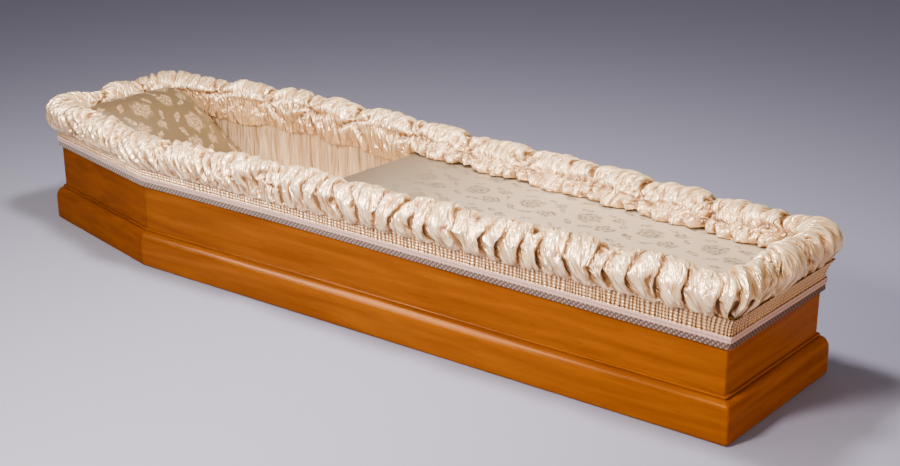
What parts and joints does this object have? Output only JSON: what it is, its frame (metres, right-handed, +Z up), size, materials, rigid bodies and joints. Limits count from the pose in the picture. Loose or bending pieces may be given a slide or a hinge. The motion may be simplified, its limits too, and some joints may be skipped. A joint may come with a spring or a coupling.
{
  "type": "coffin",
  "caption": "Open tapered wooden coffin on a moulded plinth, with a padded gathered satin lining, a lace trim, a brocade pillow and a brocade coverlet.",
  "frame": {"origin": "on the floor, under the middle of the whole coffin", "axes": "+X runs from the head to the foot, +Z is up, and -Y is the right-hand side of whoever lies in it"},
  "size_m": [2.022, 0.5916, 0.3316],
  "materials": {
    "stained_beech": "satin lacquer",
    "plain_board": "unfinished",
    "cream_satin": "satin weave, padded and gathered",
    "lilac_lace": "matt braid with a looped edge",
    "gold_brocade": "brocade",
    "cream_brocade": "brocade"
  },
  "bodies": {
    "root": {"bottom_board": "plain_board", "board_head": "stained_beech", "board_foot": "stained_beech", "board_shoulder_left": "stained_beech", "board_shoulder_right": "stained_beech", "board_side_left": "stained_beech", "board_side_right": "stained_beech", "plinth_head": "stained_beech", "plinth_foot": "stained_beech", "plinth_shoulder_left": "stained_beech", "plinth_shoulder_right": "stained_beech", "plinth_side_left": "stained_beech", "plinth_side_right": "stained_beech", "wall_lining": "cream_satin", "mattress": "cream_satin", "rim_ruffle": "cream_satin", "lace_trim": "lilac_lace", "pillow": "gold_brocade", "coverlet": "cream_brocade"}
  },
  "joints": []
}
